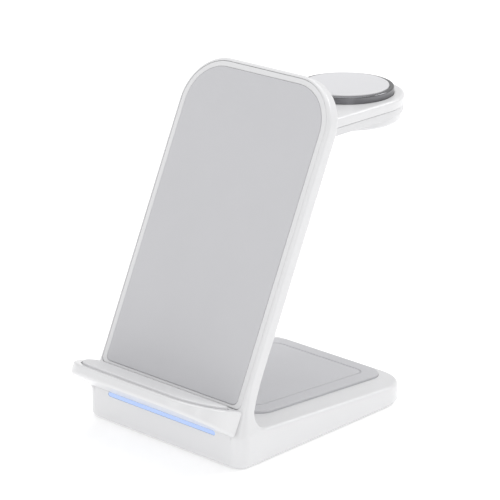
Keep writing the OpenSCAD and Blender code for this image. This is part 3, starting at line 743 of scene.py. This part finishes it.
def groove_plan(inset, r):
    return rounded_plan(bud_pad_w - 2 * inset, bud_far - bud_pad_l + inset, bud_far - inset,
                        r, r, 14)


groove_in, groove_w, groove_depth, groove_r, soft = 5.0, 0.8, 0.4, 4, 0.22
groove = core(on_deck(groove_plan(groove_in + soft, groove_r - soft), pad_top - groove_depth),
              on_deck(groove_plan(groove_in - soft / 2, groove_r + soft / 2), pad_top + 0.2))
island_in, island_r = groove_in + groove_w, groove_r - groove_w
cut(groove, core(on_deck(groove_plan(island_in - 2 * soft, island_r + 2 * soft),
                         pad_top - groove_depth - 0.2),
                 on_deck(groove_plan(island_in + soft, island_r - soft), pad_top + 0.4)))
cut(earbuds_pad, groove)
shade(earbuds_pad)
dress(earbuds_pad, soft_grey, "soft_touch_grey", "earbuds_pad")

# %% [markdown]
# ## Arm
# A glossy top shell over a satin band makes the level arm. Each is one outline with
# straight sides and a round end, cut off along the panel's slanting back. The band stops
# a little short at both faces, so a true dark seam shows above and below it.

# %% Arm shells
upper_t, band_t, lower_t, arm_drop = 3.3, 2.6, 2.9, 16.5
arm_top = top_z - arm_drop
arm_seam = arm_top - upper_t
arm_low_seam = arm_seam - band_t
arm_bottom = arm_low_seam - lower_t
flange_t, arm_wall, arm_gap, band_in = 0.8, 1.6, 0.16, 0.2
band_hole_in = arm_wall + 0.25


def arm_ring(inset, z, steps=40):
    """The arm's outline at a height, cut off behind the panel."""
    start = front_y + (panel_t + flange_t) / cos(lean) + (z - kink_z) * tan(lean)
    r = arm_w / 2 - inset
    return ([(-r, start, z), (0.0, start, z), (r, start, z)]
            + [(x, y, z) for x, y in arc(0, puck_y, r, 0, 180, steps)])


puck_r, puck_sunk, puck_proud = 16.5, 0.8, 2.8
puck_seat, puck_top = arm_top - puck_sunk, arm_top + puck_proud
upper = skin("arm_upper_cap", [arm_ring(i, arm_seam + h) for h, i in roll(upper_t, 0.12, 0.9, 5)])
seat = [[(x, y, z) for x, y in circle(0, puck_y, puck_r + fit, 96)]
        for z in (puck_seat, puck_seat + 3)]
cut(upper, core(*[arm_ring(arm_wall, z) for z in (arm_seam - 1, arm_top - arm_wall)]),
    core(*seat))
shade(upper)
dress(upper, gloss_white, "white_gloss_plastic", "arm_upper_shell")

band = skin("arm_band_ring", [arm_ring(band_in + i, arm_low_seam + arm_gap + h)
                              for h, i in roll(band_t - 2 * arm_gap, 0.15, 0.15, 3)])
cut(band, core(*[arm_ring(band_hole_in, z) for z in (arm_low_seam - 1, arm_seam + 1)]))
shade(band)
dress(band, satin_white, "white_satin_plastic", "arm_band")

# %% [markdown]
# A thin plate closes the arm from below and swells into a shallow round dish under the
# puck. The plate is a stack like the others and the dish is a turned profile, and the two
# are joined, as one mould makes them.

# %% Arm's lower cover
plate_t, plate_in, dish_edge_r, dish_r = 0.5, 0.9, 1.1, arm_w / 2 - 1.0
lower = skin("arm_lower_dish", [arm_ring(plate_in + i, arm_low_seam - plate_t + h)
                                for h, i in roll(plate_t, 0.15, 0.05, 3)])
dish_profile = [(0, 0)] + [(dish_r - i, d) for d, i in edge_levels(dish_edge_r, 8)]
dish_profile += [(dish_r, lower_t), (0, lower_t)]
combine(lower, turned("dish", dish_profile, (0, puck_y, arm_bottom)), "UNION")
shade(lower, 40)
dress(lower, gloss_white, "white_gloss_plastic", "arm_lower_cover")

# %% [markdown]
# ## Puck
# The puck is a turned part: a satin metal ring round a shallow dish. The ring's colour is a
# dark grey metal, darkened further with painted shade: the shadow a watch would cast on it.
# Turning a profile about its axis is how it is made, so the mesh is a spun profile too. The
# ring's top edge is fully rounded, which gives the thin bright line that polished rims have.

# %% Puck
puck_h = puck_top - puck_seat
ring_w, ring_gap, ring_lip, ring_edge_r, ring_slant = 1.6, 0.1, 0.4, 0.5, 0.2
cap_r = puck_r - ring_w
ring_inner_r = cap_r + ring_gap
ring_profile = [(ring_inner_r, 0), (puck_r, 0)]
ring_profile += arc(puck_r - ring_edge_r, puck_h - (ring_lip + ring_edge_r), ring_edge_r,
                    0, 90, 6)
ring_profile += [(ring_inner_r + ring_slant, puck_h - ring_lip),
                 (ring_inner_r, puck_h - (ring_lip + ring_slant))]
puck_place = (0, puck_y, puck_seat)
puck_ring = turned("puck_metal_ring", ring_profile, puck_place)
shade(puck_ring)
dress(puck_ring, ring_finish_with_painted_shade, "ring_aluminium", "puck_ring")

dish_depth, puck_skin, cap_edge_r, hollow_r = 0.6, 1.0, 0.5, cap_r - 0.6
puck_profile = [(r, puck_h - dish_depth * (1 - (r / hollow_r) ** 2))
                for r in np.linspace(0, hollow_r, 14)]
puck_profile += arc(cap_r - cap_edge_r, puck_h - cap_edge_r, cap_edge_r, 80, 0, 5)
puck_profile += [(cap_r, 0), (cap_r - puck_skin, 0),
                 (cap_r - puck_skin, puck_h - dish_depth - puck_skin),
                 (0, puck_h - dish_depth - puck_skin)]
puck = turned("watch_puck_dish", puck_profile, puck_place)
shade(puck)
dress(puck, puck_white, "puck_plastic", "watch_puck")

# %% [markdown]
# ## Wound coils
# Each charging coil is one wire wound in a flat spiral and stuck to a ferrite sheet. The
# winding follows a rule, so Geometry Nodes draw it: a spiral curve, swept with a round
# wire, then turned and moved to its seat. The same tree winds all four coils, and only
# its named inputs differ.

# %% Winding tree
def named_inputs(tree, sockets):
    """Adds a node tree's inputs and gives back their identifiers by name."""
    return {name: tree.interface.new_socket(name, in_out="INPUT", socket_type=kind).identifier
            for name, kind in sockets.items()}


winding = bpy.data.node_groups.new("coil_winding", "GeometryNodeTree")
winding_ids = named_inputs(winding, {
    "Turns": "NodeSocketFloat", "Inner radius": "NodeSocketFloat",
    "Outer radius": "NodeSocketFloat", "Wire radius": "NodeSocketFloat",
    "Tilt": "NodeSocketVector", "Seat": "NodeSocketVector"})
winding.interface.new_socket("Coil", in_out="OUTPUT", socket_type="NodeSocketGeometry")
inputs = winding.nodes.new("NodeGroupInput")
spiral = winding.nodes.new("GeometryNodeCurveSpiral")
spiral.inputs["Resolution"].default_value = 48
spiral.inputs["Height"].default_value = 0
wire = winding.nodes.new("GeometryNodeCurvePrimitiveCircle")
wire.inputs["Resolution"].default_value = 8
sweep = winding.nodes.new("GeometryNodeCurveToMesh")
sweep.inputs["Fill Caps"].default_value = True
seat_it = winding.nodes.new("GeometryNodeTransform")
real = winding.nodes.new("GeometryNodeRealizeInstances")
finish = winding.nodes.new("GeometryNodeSetMaterial")
finish.inputs["Material"].default_value = copper
outputs = winding.nodes.new("NodeGroupOutput")
for start, end in (
        (inputs.outputs["Turns"], spiral.inputs["Rotations"]),
        (inputs.outputs["Inner radius"], spiral.inputs["Start Radius"]),
        (inputs.outputs["Outer radius"], spiral.inputs["End Radius"]),
        (inputs.outputs["Wire radius"], wire.inputs["Radius"]),
        (spiral.outputs["Curve"], sweep.inputs["Curve"]),
        (wire.outputs["Curve"], sweep.inputs["Profile Curve"]),
        (sweep.outputs["Mesh"], seat_it.inputs["Geometry"]),
        (inputs.outputs["Tilt"], seat_it.inputs["Rotation"]),
        (inputs.outputs["Seat"], seat_it.inputs["Translation"]),
        (seat_it.outputs["Geometry"], real.inputs["Geometry"]),
        (real.outputs["Geometry"], finish.inputs["Geometry"]),
        (finish.outputs["Geometry"], outputs.inputs["Coil"])):
    winding.links.new(start, end)
print("winding tree has", len(winding.nodes), "nodes")

# %% [markdown]
# The panel hides two coils one above the other, the deck one and the puck one. The two in
# the panel share the room between the pocket's foot and the arm's screws, so their radius
# is worked out from it, as in the CAD model. The wire's thickness and the radii give the
# number of turns.

# %% Wind the coils
def wind(name, node, inner, outer, wire_r, tilt, seat):
    """One flat coil between two radii, in place of a CAD ring."""
    obj = new_object(name, bpy.data.meshes.new(name))
    step = obj.modifiers.new("winding", "NODES")
    step.node_group = winding
    pitch = 2.06 * wire_r
    values = {"Turns": (outer - inner - 2 * wire_r) / pitch,
              "Inner radius": (inner + wire_r) * MM, "Outer radius": (outer - wire_r) * MM,
              "Wire radius": wire_r * MM, "Tilt": (tilt, 0.0, 0.0),
              "Seat": [c * MM for c in seat]}
    for key, value in values.items():
        step[winding_ids[key]] = value
    evaluated(obj)
    close_up(obj.data)
    shade(obj, 60)
    return dress(obj, copper, "coil_copper", node)


head_r, coils_start, ferrite_edge, coil_gap, coil_t = 1.9, pocket_start + 1, 1.0, 0.6, 1.2
arm_root_v = (arm_low_seam - kink_z + panel_t * sin(lean)) / cos(lean)
arm_screw_v = arm_root_v + 3.8
phone_coil_r = (arm_screw_v - head_r - 0.4 - coils_start - 2 * ferrite_edge - coil_gap) / 4
lower_coil_v = coils_start + ferrite_edge + phone_coil_r
coil_wire_r, bud_wire_r, phone_coil_hole_r = 0.5, 0.44, 0.45 * phone_coil_r
bud_coil_r, bud_coil_hole_r, bud_coil_y = 18, 8, bud_far - bud_pad_l / 2
watch_coil_r, watch_coil_hole_r, watch_coil_deep = cap_r - 1.6, 4.6, 1.7
for name, v in (("lower", lower_coil_v), ("upper", lower_coil_v + 2 * phone_coil_r + coil_gap)):
    wind("phone_winding_" + name, "phone_coil_" + name, phone_coil_hole_r, phone_coil_r,
         coil_wire_r, pi / 2 - lean, panel_point(0, v, -frame_t - coil_t + coil_wire_r))
wind("earbuds_winding", "earbuds_coil", bud_coil_hole_r, bud_coil_r, bud_wire_r,
     -deck_slope, deck_point(0, bud_coil_y, -deck_t - bud_wire_r - 0.01))
wind("watch_winding", "watch_coil", watch_coil_hole_r, watch_coil_r, coil_wire_r, 0.0,
     (0, puck_y, puck_top - watch_coil_deep - coil_t / 2))

# %% [markdown]
# ## Feet and screws
# The feet and the screws are bought parts, all alike within a kind. One of each is made,
# and Geometry Nodes set a copy on every place where the CAD model has one. The places are
# the points of a small mesh, and the tilt is one named input.

# %% Copies tree
copies = bpy.data.node_groups.new("copies_on_places", "GeometryNodeTree")
copies.interface.new_socket("Places", in_out="INPUT", socket_type="NodeSocketGeometry")
copies_ids = named_inputs(copies, {"Piece": "NodeSocketObject", "Tilt": "NodeSocketVector",
                                   "Finish": "NodeSocketMaterial"})
copies.interface.new_socket("Copies", in_out="OUTPUT", socket_type="NodeSocketGeometry")
inputs = copies.nodes.new("NodeGroupInput")
piece = copies.nodes.new("GeometryNodeObjectInfo")
place_it = copies.nodes.new("GeometryNodeInstanceOnPoints")
real = copies.nodes.new("GeometryNodeRealizeInstances")
finish = copies.nodes.new("GeometryNodeSetMaterial")
outputs = copies.nodes.new("NodeGroupOutput")
for start, end in (
        (inputs.outputs["Places"], place_it.inputs["Points"]),
        (inputs.outputs["Piece"], piece.inputs["Object"]),
        (piece.outputs["Geometry"], place_it.inputs["Instance"]),
        (inputs.outputs["Tilt"], place_it.inputs["Rotation"]),
        (place_it.outputs["Instances"], real.inputs["Geometry"]),
        (real.outputs["Geometry"], finish.inputs["Geometry"]),
        (inputs.outputs["Finish"], finish.inputs["Material"]),
        (finish.outputs["Geometry"], outputs.inputs["Copies"])):
    copies.links.new(start, end)
print("copies tree has", len(copies.nodes), "nodes")

# %% [markdown]
# The feet are moulded rubber discs. Two fine grooves in the sole help them grip the
# table. A foot is one turned profile, grooves and rolled edge with it, and its four copies
# end up as a single mesh, since they are one CAD node.

# %% Feet
def set_out(name, node, unit, places, material, slot, tilt=0.0):
    """Copies of one piece on every place, as a single mesh."""
    mesh = bpy.data.meshes.new(name)
    mesh.from_pydata([tuple(c * MM for c in p) for p in places], [], [])
    obj = new_object(name, mesh)
    step = obj.modifiers.new("copies", "NODES")
    step.node_group = copies
    for key, value in {"Piece": unit, "Tilt": (tilt, 0.0, 0.0), "Finish": material}.items():
        step[copies_ids[key]] = value
    evaluated(obj)
    bpy.data.objects.remove(unit)
    shade(obj)
    return dress(obj, material, slot, node)


foot_r, foot_t, foot_edge_r, deep = 5.0, 1.0, 0.35, 0.25
foot_profile = [(0, 0), (1.2, 0), (1.5, deep), (1.8, 0), (3.0, 0), (3.3, deep), (3.6, 0)]
foot_profile += [(foot_r - i, d) for d, i in edge_levels(foot_edge_r, 5)]
foot_profile += [(foot_r, foot_t), (0, foot_t)]
set_out("ribbed_feet", "rubber_feet", turned("foot", foot_profile, steps=64),
        [(x, front_y + y, 0) for x, y in screw_places], rubber, "foot_rubber")

# %% [markdown]
# All screws are pan heads with a cross recess. The thread is drawn as rings of a turned
# profile and not as a true helix, since it sits in a post and only its outline counts.
# Base, board and arm take three sizes of the same screw, so one helper makes them.

# %% Screws
def cross_screw(head_r, head_h, shank_r, shank_l):
    """A pan-head screw, its head's top at z = 0 and its shank down, with a cross recess."""
    thread_step, thread_depth, dome_r, recess_r = 0.35, 0.14, 0.45, head_r * 0.55
    profile = [(0, 0), (recess_r, 0)] + arc(head_r - dome_r, -dome_r, dome_r, 70, 0, 5)
    profile += [(head_r, -head_h), (shank_r, -head_h)]
    for k in range(int((shank_l - 0.6) / thread_step)):
        z = -head_h - 0.3 - thread_step * k
        profile += [(shank_r, z), (shank_r - thread_depth, z - 0.17)]
    profile += [(shank_r * 0.6, -head_h - shank_l), (0, -head_h - shank_l)]
    screw = turned("screw", profile, steps=32)
    slot_w, slot_depth = 0.22, head_h * 0.45
    for a, b in ((recess_r, slot_w), (slot_w, recess_r)):
        cross = [(-a, -b), (a, -b), (a, b), (-a, b)]
        cut(screw, core(*[[(x, y, z) for x, y in cross] for z in (-slot_depth, 1)]))
    return screw


base_head_h, base_shank_l, foot_gap = 1.15, 3.55, 0.05
set_out("base_cover_screws", "base_screws",
        cross_screw(head_r, base_head_h, screw_r, base_shank_l),
        [(x, front_y + y, foot_t + foot_gap) for x, y in screw_places],
        steel, "screw_steel", pi)
board_w, board_t, board_z = 2 * (screw_x - post_r - 0.5), 1.2, base_z + 2
port_in, port_l = 0.2, 7.3
board_start, board_end = 41, base_d - port_in - port_l
board_post_x = board_w / 2 - 3
board_head_h, board_shank_l, smaller = 0.9, 2.4, 0.2
set_out("board_holding_screws", "board_screws",
        cross_screw(head_r - smaller, board_head_h, screw_r - smaller, board_shank_l),
        [(x, front_y + y, board_z + board_t + board_head_h)
         for x in (-board_post_x, board_post_x) for y in (board_start + 3, board_end - 4)],
        steel, "screw_steel")
arm_screw_x, arm_screw_l, arm_head_h = 13.5, 6 + back_wall, 0.9
set_out("arm_holding_screws", "arm_screws",
        cross_screw(head_r, arm_head_h, screw_r, arm_screw_l),
        [panel_point(x, arm_screw_v, -panel_t + back_wall + arm_head_h)
         for x in (-arm_screw_x, arm_screw_x)], steel, "screw_steel", pi / 2 - lean)

# %% [markdown]
# ## Pieces kept from the CAD model
# The other pieces inside, the bottom cover, the arm's flange and the socket are plain
# plates and blocks. Their CAD shapes are right as they are, so they only get a finish.

# %% Finishes for the kept pieces
kept = {
    "base_bottom_cover": satin_white, "counterweight": weight, "main_circuit_board": board_green,
    "usb_c_socket": steel, "earbuds_coil_ferrite": ferrite, "led_board": board_green,
    "phone_coil_ferrite": ferrite, "coil_driver_board": board_green, "arm_flange": satin_white,
    "arm_bracket": aluminium, "watch_coil_ferrite": ferrite, "watch_magnet": steel,
}
for name, material in kept.items():
    cad = nodes[name]
    cad.data.materials.clear()
    cad.data.materials.append(material)
print(len(kept), "CAD pieces kept")

# %% [markdown]
# ## Floor
# The stand is shown on a plain pale table. The photograph's white is clipped, which the
# plain Standard view gives too, and a little emission in the floor lifts it to white
# without washing out the stand's own soft shadow.

# %% Floor
bpy.context.scene.view_settings.view_transform = "Standard"
bpy.ops.mesh.primitive_plane_add(size=8, location=(0, 0, 0))
floor = bpy.context.object
floor.name = "floor"
floor_mat = bpy.data.materials.new("pale_floor")
floor_mat.use_nodes = True
floor_shader = floor_mat.node_tree.nodes["Principled BSDF"]
floor_shader.inputs["Base Color"].default_value = (0.93, 0.93, 0.93, 1)
floor_shader.inputs["Roughness"].default_value = 0.9
floor_shader.inputs["Specular IOR Level"].default_value = 0.1
floor_shader.inputs["Emission Color"].default_value = (1, 1, 1, 1)
floor_shader.inputs["Emission Strength"].default_value = 0.26
floor.data.materials.append(floor_mat)
print("floor is", floor.dimensions.x, "m wide")

# %% [markdown]
# ## Light
# White forms read by gentle shading alone, so the lights are large and soft. The one
# overhead is the strongest and keeps the tops bright, the key at the right keeps the
# right side a shade below them, and the rim light behind parts the panel from the
# background. An even white world fills the shadows, as a white studio does.

# %% Lights
world = bpy.data.worlds.new("studio")
bpy.context.scene.world = world
world.use_nodes = True
world.node_tree.nodes["Background"].inputs["Color"].default_value = (1, 1, 1, 1)
world.node_tree.nodes["Background"].inputs["Strength"].default_value = 0.68
aim_point = Vector((0, 0, 0.05))


def softbox(name, place, size, power):
    """A square soft light that looks at the stand."""
    data = bpy.data.lights.new(name, "AREA")
    data.shape, data.size, data.energy = "SQUARE", size, power
    lamp = bpy.data.objects.new(name, data)
    lamp.location = place
    aim = aim_point - Vector(place)
    lamp.rotation_euler = aim.to_track_quat("-Z", "Y").to_euler()
    bpy.context.scene.collection.objects.link(lamp)
    print(name, "light of", power, "W")


softbox("key", (0.72, -0.54, 0.32), 0.3, 0.55)
softbox("fill", (-0.25, -0.8, 0.45), 0.5, 0.8)
softbox("top", (-0.1, 0.15, 0.9), 0.7, 2.6)
softbox("rim", (0.3, 0.62, 0.6), 0.3, 1.6)
